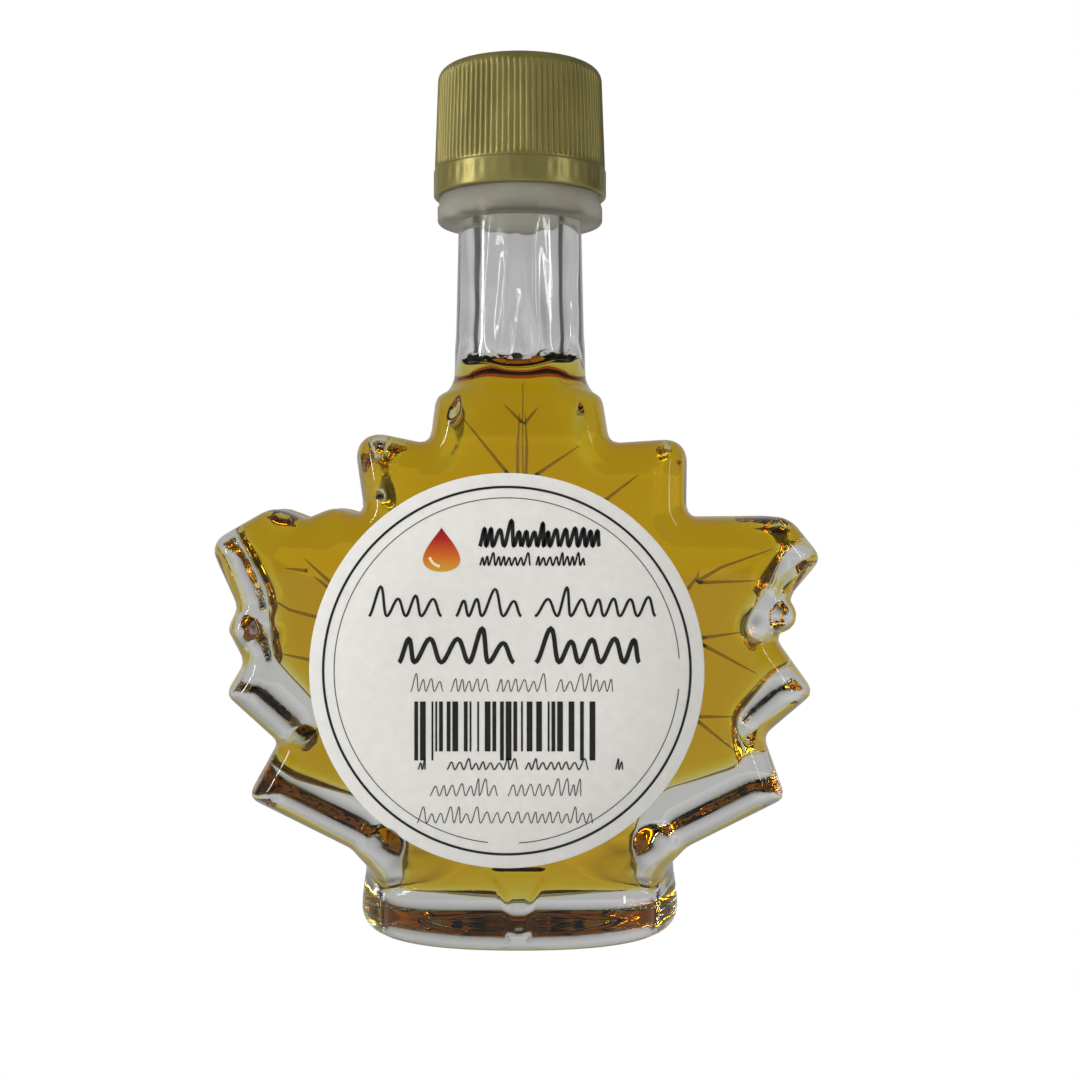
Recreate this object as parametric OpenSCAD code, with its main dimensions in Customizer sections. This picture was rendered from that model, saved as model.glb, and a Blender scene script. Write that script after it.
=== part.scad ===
// A small bottle of maple syrup, moulded in clear glass in the shape of a maple leaf on an oval foot.
// The syrup reaches the bottom of the neck, a ribbed cap closes it over a tamper ring, and a round label
// is stuck on the front. Millimetres, +Z up, front towards -Y, origin in the middle of the foot's underside.

/* [Leaf body] */
// Width of the leaf, arm tip to arm tip
leaf_w = 68.5; // [56:0.5:84]
// Height of the leaf, from the top of the foot to the shoulders
leaf_h = 55; // [45:0.5:67]
// Depth of the leaf, from its front face to its back face
leaf_d = 25.5; // [22.5:0.5:30]
// Height above the foot at which the faces start to slope back to the neck
slope_from = 52; // [50:0.5:54]
// Thickness of the glass behind each face
face_wall = 2.1; // [1.5:0.1:3]
// How far the hollow reaches past its drawn outline
hollow_reach = 0.6; // [0.2:0.1:1]
// Rounding of the edges of the faces
face_edge = 2.6; // [1.6:0.1:3]

/* [Foot] */
// Width of the oval foot
foot_w = 37; // [31:0.5:44]
// Depth of the oval foot
foot_d = 26; // [23.5:0.5:31]
// Height of the foot
foot_h = 8.4; // [7:0.1:10]
// Rounding of the foot's lower edge
foot_edge = 2.5; // [1.5:0.1:3]
// Glass left under the syrup
foot_floor = 3.8; // [3.4:0.1:4.6]
// Depth of the recess under the foot
recess_depth = 0.6; // [0.3:0.1:1]
// Width of the ring that the foot stands on
bearing_w = 2.2; // [1.6:0.1:3.5]

/* [Neck] */
// Outside radius of the neck at the shoulders
neck_r_low = 7.7; // [6.8:0.05:9]
// Outside radius of the neck under the tamper ring
neck_r = 7.2; // [6.5:0.05:8]
// Radius of the bore
bore_r = 4.7; // [4.2:0.05:5]
// Length of the plain neck, from the shoulders to the tamper ring
neck_len = 19.7; // [14:0.1:30]
// Radius of the finish inside the cap
finish_r = 8.2; // [7.9:0.05:8.4]
// Height of the syrup above the shoulders
fill_above = 2.7; // [1.5:0.1:8]

/* [Cap and ring] */
// Outside radius of the cap at its lower edge
cap_r = 10.15; // [9.8:0.05:12]
// Height of the cap
cap_h = 15.1; // [12:0.1:19]
// Height of the plain band at the foot of the cap
band_h = 3.1; // [2:0.1:4.5]
// How much the ribbed wall leans in from bottom to top
cap_lean = 0.5; // [0.2:0.05:0.8]
// Thickness of the cap's top
cap_top = 1.6; // [1.2:0.1:2.4]
// Number of ribs around the cap
rib_count = 90; // [60:1:110]
// Depth of the grooves between the ribs
rib_depth = 0.28; // [0.15:0.01:0.4]
// Outside radius of the tamper ring
ring_r = 9.7; // [9.2:0.05:11]
// Height of the tamper ring
ring_h = 2.8; // [2:0.1:4]
// Number of bridges that tie the ring to the cap
bridge_count = 8; // [6:1:12]

/* [Label] */
// Radius of the round label
label_r = 21.8; // [17:0.1:22]
// Thickness of the label
label_t = 0.15; // [0.1:0.01:0.3]
// How far the label sits off the middle
label_x = -1.3; // [-2:0.1:2]
// Height of the label's centre above the foot
label_up = 23.2; // [23:0.1:23.6]

/* [Hidden] */
$fn = 64;
overlap = 0.5;    // how far joined shapes run into each other
ring_gap = 0.1;   // running gap between the tamper ring and the neck
bridge_h = 0.3;   // gap between the ring and the cap that the bridges cross
finish_gap = 0.25;  // gap between the finish and the inside of the cap
edge = 1.2;       // rounding of the cap's top edge and the ring's lower edge

shoulder_z = foot_h + leaf_h;
face_y = leaf_d / 2;
ring_z = shoulder_z + neck_len;
cap_z = ring_z + ring_h + bridge_h;
mouth_z = cap_z + cap_h - cap_top;
fill_z = shoulder_z + fill_above;

// The outlines of the leaf and of the hollow in it, as corners [across, up from the foot, rounding], drawn for
// a leaf 71 wide and 56 high. They run up the right-hand side and down the left. The hollow keeps clear of the
// small teeth, which are solid glass.
DRAWN_W = 71;
DRAWN_H = 56;
SILHOUETTE = [
    [16.5, -2.6, 0], [17.8, 0.6, 1], [19.8, 2.8, 1], [31.5, 8.5, 1.2], [28.9, 15.7, 1], [34.9, 20.7, 1.3],
    [30.4, 26.9, 0.4], [32.3, 29.2, 1.2], [32, 31.8, 0.9], [35.8, 36.2, 1.6], [31.8, 41.1, 3.2],
    [19.8, 41, 1.2], [19.9, 50.2, 2.4], [10.7, 49.6, 1], [9.9, 55.1, 1.5], [6.5, 57, 0.8],
    [6.5, 61.4, 0],
    [-6.5, 61.4, 0], [-6.5, 57, 0.8], [-10, 55.1, 1.5], [-10.6, 49.5, 1], [-19.8, 51.4, 2.6],
    [-18.3, 41.2, 0.7], [-21.9, 42.2, 3], [-25.3, 40.8, 1.2], [-29, 42.3, 3], [-36.6, 38, 2.2],
    [-33.2, 30.6, 1], [-34.4, 28, 1.2], [-32.4, 24.3, 1.2], [-34.7, 20.5, 1.3], [-28.5, 15, 0.4],
    [-32.1, 8.6, 1.2], [-19.8, 2.6, 1], [-18.1, 0.5, 1], [-16.5, -2.6, 0]
];
HOLLOW_LINE = [
    [13, -5.4, 0], [13.1, 0.8, 1], [13.2, 6.4, 1.5], [16.9, 10.2, 1.5], [25.8, 12.8, 1], [24.8, 17.8, 2],
    [29.2, 23.3, 0.8], [25.4, 28, 2.4], [31.4, 38.4, 0.8], [17.6, 38.2, 2.5], [16.8, 48.4, 1.2],
    [8, 47, 2], [5.6, 52.8, 1.5], [3.6, 56.6, 0.8], [3.6, 61.4, 0],
    [-3.6, 61.4, 0], [-3.6, 56.6, 0.8], [-5.6, 52.8, 1.5], [-8, 47, 2], [-16.4, 48.7, 1.2],
    [-14.3, 42.6, 2], [-17.4, 39, 1.2], [-21.3, 38.1, 1.5], [-23.8, 39.2, 0.8], [-26.6, 38.1, 1.5],
    [-32.6, 39.3, 0.8], [-28.8, 32.5, 3], [-28.2, 25.2, 3], [-22.4, 18.6, 2], [-23.1, 16.4, 0.8],
    [-26.6, 14, 0.6], [-27, 11.5, 0.8], [-19, 9.4, 1.5], [-13.2, 6.4, 1.5], [-13.1, 0.8, 1],
    [-13, -5.4, 0]
];
// Each rounding has this many steps.
STEPS = 3;
// The leaf's wall in steps from half way through to the face: [share of the depth, share of the edge rounding].
WALL = [[0.6, 0], [0.86, 0.22], [0.96, 0.55], [1, 1]];
// The hollow's wall in the same way, from its widest part to its inner face: [share of the depth, inset].
HOLLOW = [[0.4, 0], [0.75, 0.5], [0.93, 1.4], [1, 2.4]];
// The point that every part of both outlines can be seen from, above the foot.
HUB = [0, 26.8 * leaf_h / DRAWN_H];

function unit(v) = v / norm(v);

// The points that round corner b, between a and c, with radius r.
function rounded(a, b, c, r) = r == 0 ? [b] :
    let (to_a = unit(a - b), to_c = unit(c - b), half = acos(to_a * to_c) / 2,
         middle = b + unit(to_a + to_c) * r / sin(half), turn = 180 - 2 * half,
         from = b + to_a * r / tan(half) - middle, to = b + to_c * r / tan(half) - middle)
    [for (i = [0:STEPS]) middle + (from * sin(turn * (1 - i / STEPS)) + to * sin(turn * i / STEPS)) / sin(turn)];

function corner(list, i) = let (c = list[(i + len(list)) % len(list)])
    [c[0] * leaf_w / DRAWN_W, c[1] * leaf_h / DRAWN_H];

function outline(list) = [for (i = [0:len(list) - 1])
    each rounded(corner(list, i - 1), corner(list, i), corner(list, i + 1), list[i][2])];

// The outline as a table of [angle, distance] round the hub, from the foot round by the right.
function polar(points) = [for (p = points) let (v = p - HUB, a = atan2(v[1], v[0])) [a < -90 ? a + 360 : a, norm(v)]];

silhouette = polar(outline(SILHOUETTE));
hollow_line = polar(outline(HOLLOW_LINE));

// The outline's angles in order, without the ones that nearly repeat.
function spaced(list, least = 0.4) = [for (i = [0:len(list) - 1])
    if (i == 0 || list[i][0] - list[i - 1][0] > least) list[i][0]];

angles = spaced(silhouette);
hollow_angles = spaced(hollow_line);

// Half the leaf's depth at that height above the foot: level, but sloping back above to meet the neck and
// below to meet the foot.
outline_top = 61.4 * leaf_h / DRAWN_H;
slope_end = neck_r_low / 2;
tuck_from = 1.4;
tuck_slope = 1;
function half_depth(up) = face_y
    - (face_y - slope_end) * max(0, up - slope_from) / (outline_top - slope_from)
    - tuck_slope * max(0, tuck_from - up);

// A point at that distance from the hub, with its depth as a share of the half depth less the wall.
function spot(angle, far, share, wall = 0) = let (up = HUB[1] + far * sin(angle))
    [HUB[0] + far * cos(angle), share * (half_depth(up) - wall), foot_h + up];

// The distance from the hub to a polar outline at that angle, straight from point to point.
function reach(outline, a) = let (n = len(outline), i = len([for (p = outline) if (p[0] <= a) 1]) - 1,
         p = outline[(i + n) % n], q = outline[(i + 1) % n])
    p[1] * q[1] * sin(q[0] - p[0]) / (p[1] * sin(a - p[0]) + q[1] * sin(q[0] - a));

function leaf_ring(share, rounding) = [for (a = angles)
    spot(a, reach(silhouette, a) - rounding * face_edge, share)];

// The hollow stops level at the foot's floor and at the shoulders.
hollow_top = 57.6 * leaf_h / DRAWN_H;
function hollow_reach_at(a, inset) = let (level = max(abs(sin(a)), 0.01))
    min(reach(hollow_line, a) + hollow_reach - inset,
        (sin(a) > 0 ? hollow_top - HUB[1] : HUB[1] + foot_h - foot_floor) / level);
function hollow_ring(share, inset) = [for (a = hollow_angles)
    spot(a, hollow_reach_at(a, inset), share, face_wall)];

// The edge of the level part of a face, just inside that ring.
function crease_ring(ring, y) = [for (p = ring)
    let (v = [p[0], p[2] - foot_h - HUB[1]], level = (v[1] > 0 ? slope_from : tuck_from) - HUB[1],
         k = min(0.97, abs(level) / max(abs(v[1]), 0.01)))
    [v[0] * k, y, foot_h + HUB[1] + v[1] * k]];

// Wall steps from the back face round to the front face.
function both_ways(steps) = [for (i = [len(steps) - 1:-1:0]) steps[i], for (s = steps) [-s[0], s[1]]];

// A closed skin over rings of equal count, with a fan from a middle point at each end.
module skin(rings, first_middle, last_middle) {
    n = len(rings[0]);
    m = len(rings);
    points = concat([for (r = rings) each r], [first_middle, last_middle]);
    sides = [for (k = [0:m - 2], i = [0:n - 1])
        let (a = k * n + i, b = k * n + (i + 1) % n)
        each [[a, b + n, b], [a, a + n, b + n]]];
    ends = [for (i = [0:n - 1])
        each [[m * n, i, (i + 1) % n], [m * n + 1, (m - 1) * n + (i + 1) % n, (m - 1) * n + i]]];
    polyhedron(points = points, faces = concat(sides, ends), convexity = 12);
}

// A leaf-shaped skin from its back face to its front face, y deep each way.
module leaf_skin(rings, y) {
    last = len(rings) - 1;
    skin(concat([crease_ring(rings[0], y)], rings, [crease_ring(rings[last], -y)]),
        [HUB[0], y, foot_h + HUB[1]], [HUB[0], -y, foot_h + HUB[1]]);
}

module leaf() {
    leaf_skin([for (s = both_ways(WALL)) leaf_ring(s[0], s[1])], face_y);
}

module hollow() {
    leaf_skin([for (s = both_ways(HOLLOW)) hollow_ring(s[0], s[1])], face_y - face_wall);
}

// An oval ring, flatter along its sides than an ellipse.
OVAL_POINTS = 48;
SQUARENESS = 0.88;
function swing(x) = sign(x) * pow(abs(x), SQUARENESS);
function oval_ring(inset, z) = [for (i = [0:OVAL_POINTS - 1])
    let (a = 360 * (i + 0.5) / OVAL_POINTS)
    [(foot_w / 2 - inset) * swing(cos(a)), (foot_d / 2 - inset) * swing(sin(a)), z]];

// The foot: rounded edges below and above, and a shallow recess underneath.
module foot() {
    difference() {
        skin([oval_ring(foot_edge, 0), oval_ring(0.3 * foot_edge, 0.3 * foot_edge), oval_ring(0, foot_edge),
            oval_ring(0.1, foot_h - 1.2), oval_ring(1, foot_h)],
            [0, 0, 0], [0, 0, foot_h]);
        skin([oval_ring(foot_edge + bearing_w - recess_depth, -recess_depth),
            oval_ring(foot_edge + bearing_w + recess_depth, recess_depth)],
            [0, 0, -recess_depth], [0, 0, recess_depth]);
    }
}

// A round solid from a row of [radius, height] points.
module turned(points) {
    rotate_extrude()
        polygon(points);
}

module glass() {
    color([0.9, 0.95, 0.93, 0.35])
        difference() {
            union() {
                leaf();
                foot();
                translate([0, 0, shoulder_z - 2])
                    cylinder(h = ring_z - shoulder_z + 2, r1 = neck_r_low, r2 = neck_r);
                translate([0, 0, ring_z - overlap])
                    cylinder(h = cap_z - ring_z + 2 * overlap, r = neck_r);
                translate([0, 0, cap_z + overlap])
                    cylinder(h = mouth_z - cap_z - overlap, r = finish_r);
            }
            hollow();
            translate([0, 0, foot_h + hollow_top - 2])
                cylinder(h = mouth_z - foot_h - hollow_top + 3, r = bore_r);
        }
}

module syrup() {
    color([0.72, 0.42, 0.05])
        union() {
            hollow();
            translate([0, 0, foot_h + hollow_top - 2])
                cylinder(h = fill_z - foot_h - hollow_top + 2, r = bore_r);
        }
}

// The cap's ribs: one point on the crest and one in the groove for each.
function rib_ring(r, z) = [for (i = [0:2 * rib_count - 1])
    let (a = 180 * i / rib_count, far = r - (i % 2) * rib_depth)
    [far * cos(a), far * sin(a), z]];

module cap() {
    top_r = cap_r - cap_lean;
    wall_top = cap_h - edge;
    color([0.62, 0.54, 0.32])
        difference() {
            union() {
                translate([0, 0, cap_z])
                    cylinder(h = band_h, r = cap_r);
                skin([rib_ring(cap_r - 0.05, cap_z + band_h - overlap), rib_ring(top_r, cap_z + wall_top)],
                    [0, 0, cap_z + band_h - overlap], [0, 0, cap_z + wall_top]);
                translate([0, 0, cap_z + wall_top - overlap])
                    turned([[0, 0], [top_r - rib_depth - 0.02, 0],
                        for (a = [0:15:90]) [top_r - rib_depth - 0.02 - edge * (1 - cos(a)), overlap + edge * sin(a)],
                        [0, overlap + edge]]);
            }
            translate([0, 0, cap_z - 1])
                cylinder(h = mouth_z - cap_z + 1, r = finish_r + finish_gap);
        }
}

module tamper_ring() {
    color([0.75, 0.74, 0.7, 0.8])
        union() {
            translate([0, 0, ring_z])
                turned([[neck_r + ring_gap, 0],
                    for (a = [0:15:90]) [ring_r - edge * (1 - sin(a)), edge * (1 - cos(a))],
                    [ring_r, ring_h], [neck_r + ring_gap, ring_h]]);
            for (i = [0:bridge_count - 1])
                rotate([0, 0, 360 * (i + 0.5) / bridge_count])
                    translate([ring_r - 0.9, -0.5, ring_z + ring_h - overlap])
                        cube([0.8, 1, overlap + bridge_h]);
        }
}

module label() {
    color([0.93, 0.92, 0.9])
        translate([label_x, -face_y, foot_h + label_up])
            rotate([90, 0, 0])
                cylinder(h = label_t, r = label_r);
}

glass();
syrup();
cap();
tamper_ring();
label();
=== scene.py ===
# %% [markdown]
# # A small syrup bottle of moulded glass
#
# The bottle is clear glass, moulded in the shape of a maple leaf on an oval foot. It holds amber syrup up to
# the bottom of its neck. A ribbed gold cap closes it over a milky tamper ring, and a round paper label is
# stuck on the front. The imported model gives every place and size, and each node is replaced by a finer piece.

import bpy
import numpy as np
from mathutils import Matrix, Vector


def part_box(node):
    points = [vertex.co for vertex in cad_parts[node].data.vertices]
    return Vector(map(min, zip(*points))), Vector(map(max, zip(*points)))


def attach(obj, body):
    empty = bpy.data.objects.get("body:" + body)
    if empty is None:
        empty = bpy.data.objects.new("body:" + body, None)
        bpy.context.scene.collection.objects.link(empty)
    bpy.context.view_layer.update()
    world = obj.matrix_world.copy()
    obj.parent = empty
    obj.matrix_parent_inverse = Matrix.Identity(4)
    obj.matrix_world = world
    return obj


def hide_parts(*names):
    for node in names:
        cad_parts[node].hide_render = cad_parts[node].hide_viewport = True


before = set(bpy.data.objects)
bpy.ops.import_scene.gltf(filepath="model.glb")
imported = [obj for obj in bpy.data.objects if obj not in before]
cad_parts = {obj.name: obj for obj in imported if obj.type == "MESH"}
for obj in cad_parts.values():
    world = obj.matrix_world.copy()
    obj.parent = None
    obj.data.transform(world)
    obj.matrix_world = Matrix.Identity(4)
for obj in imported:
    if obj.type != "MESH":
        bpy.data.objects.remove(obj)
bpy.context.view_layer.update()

MM = 0.001


def node_box(node):
    """The lowest and highest corner of a node, in millimetres."""
    low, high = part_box(node)
    return np.array(low) / MM, np.array(high) / MM


glass_low, glass_high = node_box("glass")
syrup_low, syrup_high = node_box("syrup")
cap_low, cap_high = node_box("cap")
ring_low, ring_high = node_box("tamper_ring")
label_low, label_high = node_box("label")
FACE_Y = -label_high[1]
FOOT_D = glass_high[1] - glass_low[1]
MOUTH_Z = glass_high[2]
LEVEL_Z = syrup_high[2]
print(f"face at {FACE_Y:.2f}, foot {FOOT_D:.1f} deep, mouth {MOUTH_Z:.1f}, level {LEVEL_Z:.1f}")

# %% [markdown]
# ## Helpers for surfaces
#
# Most pieces here are closed surfaces, so one helper takes points and faces in millimetres, checks nothing by
# hand, and makes the mesh object in metres, at the origin, riding on the bottle's one body.

# %% Mesh helper
def make_piece(name, points, faces, material, normals=None, smooth=True, second=None):
    """A mesh object from points in millimetres and faces of point numbers. second is a further material with
    the mask of the faces that it takes."""
    mesh = bpy.data.meshes.new(name)
    mesh.from_pydata((np.asarray(points, float) * MM).tolist(), [], [list(f) for f in faces])
    mesh.polygons.foreach_set("use_smooth", np.full(len(mesh.polygons), smooth))
    if normals is not None:
        mesh.normals_split_custom_set_from_vertices(normals.tolist())
    mesh.materials.append(material)
    if second is not None:
        mesh.materials.append(second[0])
        mesh.polygons.foreach_set("material_index", np.asarray(second[1]).astype(np.int32))
    piece = bpy.data.objects.new(name, mesh)
    bpy.context.scene.collection.objects.link(piece)
    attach(piece, "root")
    triangles = sum(len(p.vertices) - 2 for p in mesh.polygons)
    print(f"{name}: {len(mesh.vertices)} points, {triangles} triangles")
    return piece


# %% [markdown]
# ## The leaf's outlines
#
# A mould for a leaf-shaped bottle is cut to one outline, where its two halves meet, and a hollow is blown
# inside that keeps clear of the small teeth, so those are solid glass. Both outlines are drawn as a list of
# corners with a rounding, in millimetres across and up from the foot, so a tooth can be moved by two numbers.

# %% Corners [across, up from the foot, rounding], up the right side and down the left
DRAWN_W, DRAWN_H = 71.0, 56.0
LEAF_W, LEAF_H, FOOT_H = 68.5, 55.0, 8.4
MOULD_LINE = [
    [16.5, -2.6, 0], [17.8, 0.6, 1], [19.8, 2.8, 1], [31.5, 8.5, 1.2], [28.9, 15.7, 1], [34.9, 20.7, 1.3],
    [30.4, 26.9, 0.4], [32.3, 29.2, 1.2], [32, 31.8, 0.9], [35.8, 36.2, 1.6], [31.8, 41.1, 3.2],
    [19.8, 41, 1.2], [19.9, 50.2, 2.4], [10.7, 49.6, 1], [9.9, 55.1, 1.5], [6.5, 57, 0.8], [6.5, 61.4, 0],
    [-6.5, 61.4, 0], [-6.5, 57, 0.8], [-10, 55.1, 1.5], [-10.6, 49.5, 1], [-19.8, 51.4, 2.6],
    [-18.3, 41.2, 0.7], [-21.9, 42.2, 3], [-25.3, 40.8, 1.2], [-29, 42.3, 3], [-36.6, 38, 2.2],
    [-33.2, 30.6, 1], [-34.4, 28, 1.2], [-32.4, 24.3, 1.2], [-34.7, 20.5, 1.3], [-28.5, 15, 0.4],
    [-32.1, 8.6, 1.2], [-19.8, 2.6, 1], [-18.1, 0.5, 1], [-16.5, -2.6, 0],
]
HOLLOW_LINE = [
    [13, -5.4, 0], [13.1, 0.8, 1], [13.2, 6.4, 1.5], [16.9, 10.2, 1.5], [25.8, 12.8, 1], [24.8, 17.8, 2],
    [29.2, 23.3, 0.8], [25.4, 28, 2.4], [31.4, 38.4, 0.8], [17.6, 38.2, 2.5], [16.8, 48.4, 1.2],
    [8, 47, 2], [5.6, 52.8, 1.5], [3.6, 56.6, 0.8], [3.6, 61.4, 0],
    [-3.6, 61.4, 0], [-3.6, 56.6, 0.8], [-5.6, 52.8, 1.5], [-8, 47, 2], [-16.4, 48.7, 1.2],
    [-14.3, 42.6, 2], [-17.4, 39, 1.2], [-21.3, 38.1, 1.5], [-23.8, 39.2, 0.8], [-26.6, 38.1, 1.5],
    [-32.6, 39.3, 0.8], [-28.8, 32.5, 3], [-28.2, 25.2, 3], [-22.4, 18.6, 2], [-23.1, 16.4, 0.8],
    [-26.6, 14, 0.6], [-27, 11.5, 0.8], [-19, 9.4, 1.5], [-13.2, 6.4, 1.5], [-13.1, 0.8, 1],
    [-13, -5.4, 0],
]

def unit(v):
    """Vectors scaled to length one."""
    return v / np.maximum(np.linalg.norm(v, axis=-1, keepdims=True), 1e-12)


def rounded_outline(corners, steps=6):
    """Each corner becomes an arc that touches both of its edges: the arc's centre lies on the bisector, at the
    radius divided by the sine of half the corner's angle, and its points turn evenly from edge to edge."""
    corners = np.array(corners, float)
    corners[:, :2] *= (LEAF_W / DRAWN_W, LEAF_H / DRAWN_H)
    spot, r = corners[:, :2], corners[:, 2:]
    back = unit(np.roll(spot, 1, 0) - spot)
    ahead = unit(np.roll(spot, -1, 0) - spot)
    half = np.arccos(np.clip((back * ahead).sum(1, keepdims=True), -1, 1)) / 2
    centre = spot + unit(back + ahead) * r / np.sin(half)
    first = spot + back * r / np.tan(half) - centre
    last = spot + ahead * r / np.tan(half) - centre
    turn = (np.pi - 2 * half)[:, None]
    t = np.linspace(0, 1, steps)[None, :, None]
    arc = (first[:, None] * np.sin(turn * (1 - t)) + last[:, None] * np.sin(turn * t)) / np.sin(turn)
    return (centre[:, None] + arc).reshape(-1, 2)


mould_line = rounded_outline(MOULD_LINE)
hollow_line = rounded_outline(HOLLOW_LINE)
print(len(mould_line), "points on the mould line,", len(hollow_line), "round the hollow")

# %% [markdown]
# ## Distance maps
#
# Glass from a mould has no sharp joins: the neck flows into the leaf, and the leaf into the foot. That is
# easiest to get from a distance field, a function that says how far a point is from the surface, with a
# minus sign inside. Two shapes are joined by a soft minimum of their distances and cut by a soft maximum, and
# both leave a fillet. For an outline, the distances are worked out once on a fine map and then looked up.

# %% Distance maps of the outlines
MAP_STEP = 0.2
map_x = np.arange(-42, 42 + MAP_STEP, MAP_STEP)
map_z = np.arange(-12, 70 + MAP_STEP, MAP_STEP)


def distance_map(outline, soften):
    """Distance to the nearest edge of the outline, negative where a level ray crosses it an odd number of
    times. Then it is averaged with Gaussian weights, which softens corners by about that many millimetres."""
    x, z = np.meshgrid(map_x, map_z, indexing="ij")
    nearest = np.full(x.shape, 1e9)
    odd = np.zeros(x.shape, bool)
    for (ax, az), (bx, bz) in zip(outline, np.roll(outline, -1, 0)):
        length = max((bx - ax) ** 2 + (bz - az) ** 2, 1e-12)
        along = np.clip(((x - ax) * (bx - ax) + (z - az) * (bz - az)) / length, 0, 1)
        nearest = np.minimum(nearest, np.hypot(x - ax - along * (bx - ax), z - az - along * (bz - az)))
        if az != bz:
            odd ^= ((az > z) != (bz > z)) & (x < ax + (z - az) * (bx - ax) / (bz - az))
    signed = np.where(odd, -nearest, nearest)
    for axis, line in ((0, map_x), (1, map_z)):
        weights = np.exp(-0.5 * ((line[:, None] - line[None, :]) / soften) ** 2)
        weights /= weights.sum(1, keepdims=True)
        signed = np.moveaxis(np.tensordot(weights, signed, (1, axis)), 0, axis)
    return signed


def look_up(chart, x, z):
    """The value of a map at any place: the four map points round it, weighted by nearness."""
    i = np.clip((x - map_x[0]) / MAP_STEP, 0, len(map_x) - 1.001)
    k = np.clip((z - map_z[0]) / MAP_STEP, 0, len(map_z) - 1.001)
    a, b = i.astype(int), k.astype(int)
    u, v = i - a, k - b
    return ((chart[a, b] * (1 - u) + chart[a + 1, b] * u) * (1 - v)
            + (chart[a, b + 1] * (1 - u) + chart[a + 1, b + 1] * u) * v)


mould_map = distance_map(mould_line, 0.3)
hollow_map = distance_map(hollow_line, 0.55)
print("distance maps of", mould_map.shape, "points")

# %% [markdown]
# ## The glass as a field
#
# The leaf's wall follows the mould line with a little draft, so that it leaves the mould, and turns over into
# the face with a wide rounding. The face is level, but it slopes back to the neck above the label and tucks in
# above the foot. Neck, foot, finish and the leaf's stem are added with a soft minimum. The hollow is the same
# kind of shape, with a wandering wall, because blown glass is never quite even inside, and its unevenness
# makes the glints and streaks that one sees in a clear neck.

# %% Soft joins and cuts
def soft_min(a, b, k):
    """The smaller of two distances, rounded off where they differ by less than k."""
    h = np.maximum(k - np.abs(a - b), 0) / k
    return np.minimum(a, b) - h * h * k / 4


def soft_max(a, b, k):
    """The larger of two distances, rounded off in the same way."""
    return -soft_min(-a, -b, k)


# %% The outside of the glass
SHOULDER_UP, TUCK_UP, OUTLINE_TOP = 52.0, 1.4, 60.3
NECK_LOW_R, NECK_R, FINISH_R = 7.7, 7.2, 8.2
FOOT_W, FOOT_TOP = 37.0, 9.4
EDGE_BLEND, EDGE_DEEPER, DRAFT = 3.6, 0.55, 0.3
SEAM_RISE, SEAM_HALF = 0.14, 0.45


def half_depth(up):
    """Half the leaf's depth: level, less the slope to the neck and less the slope to the foot."""
    to_neck = (FACE_Y - NECK_LOW_R / 2) / (OUTLINE_TOP - SHOULDER_UP) * soft_max(up - SHOULDER_UP, 0 * up, 3)
    to_foot = soft_max(TUCK_UP - up, 0 * up, 2)
    return FACE_Y - to_neck - to_foot


def leaf_field(x, y, z):
    """Distance to the mould line, plus a draft that grows with the square of the share of the depth and less
    the mould's seam at mid depth, cut by the face with a rounded edge that is deeper than it is wide."""
    up = z - FOOT_H
    depth = half_depth(up)
    share = np.minimum(np.abs(y) / np.maximum(depth, 1), 1.2)
    seam = SEAM_RISE * np.exp(-((y / SEAM_HALF) ** 2))
    side = look_up(mould_map, x, up) + DRAFT * share**2 - seam
    return soft_max(side, (np.abs(y) - depth) * EDGE_DEEPER, EDGE_BLEND)


def oval_field(x, y, across, deep):
    """About the distance to an oval a little squarer than an ellipse."""
    return ((np.abs(x) / across) ** 2.27 + (np.abs(y) / deep) ** 2.27 + 1e-9) ** (1 / 2.27) * deep - deep


CREASE_X = 15.4
# Beads of glass: [across, height, radius, how far the middle lies behind the face].
BEADS = [
    [-14.6, 12.6, 2.7, 2.3], [14.5, 12.6, 2.7, 2.3],
    [-30, 36.2, 1.9, 1.9], [29, 37.6, 1.9, 1.9], [-23.6, 24.2, 1.5, 1.3],
]


def foot_field(x, y, z):
    """An oval block with a wide rounding below, a tight one above and a crease near each end. Its underside is
    pushed up in a shallow dome, so that it stands on its rim."""
    waist = 0.5 * np.clip((z - 2.5) / 5, 0, 1) ** 2
    crease = 0.3 * np.exp(-(((np.abs(x) - CREASE_X) / 0.5) ** 2)) * np.clip(z / 3, 0, 1)
    side = oval_field(x, y, FOOT_W / 2 - waist, FOOT_D / 2 - 0.1 - waist) + crease
    block = soft_max(soft_max(side, -z, 3.6), z - FOOT_TOP, 1.4)
    dome = 0.3 + 0.5 * (1 - (x / 14) ** 2 - (y / 8.6) ** 2)
    recess = soft_max(oval_field(x, y, 14, 8.6), z - dome, 0.6)
    return soft_max(block, -recess, 0.5)


def bead_field(x, y, z):
    """Round beads of glass on each face: the distance to the nearest of a few balls sunk in it."""
    nearest = 0 * x + 0 * y + 0 * z + 99.0
    for bead_x, bead_z, radius, sunk in BEADS:
        ball = np.sqrt((x - bead_x) ** 2 + (np.abs(y) - FACE_Y + sunk) ** 2 + (z - bead_z) ** 2)
        nearest = np.minimum(nearest, ball - radius)
    return nearest


def neck_field(x, y, z):
    """A round neck that narrows a little upwards, with the wider finish inside the cap."""
    far = np.hypot(x, y)
    narrowing = np.clip((z - FOOT_H - 54) / 22, 0, 1)
    neck = soft_max(far - (NECK_LOW_R + (NECK_R - NECK_LOW_R) * narrowing),
                    np.abs(z - (MOUTH_Z + 60) / 2) - (MOUTH_Z - 60) / 2, 0.8)
    finish = soft_max(far - FINISH_R, np.abs(z - (MOUTH_Z + cap_low[2] + 0.5) / 2)
                      - (MOUTH_Z - cap_low[2] - 0.5) / 2, 0.8)
    return np.minimum(neck, finish)


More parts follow.
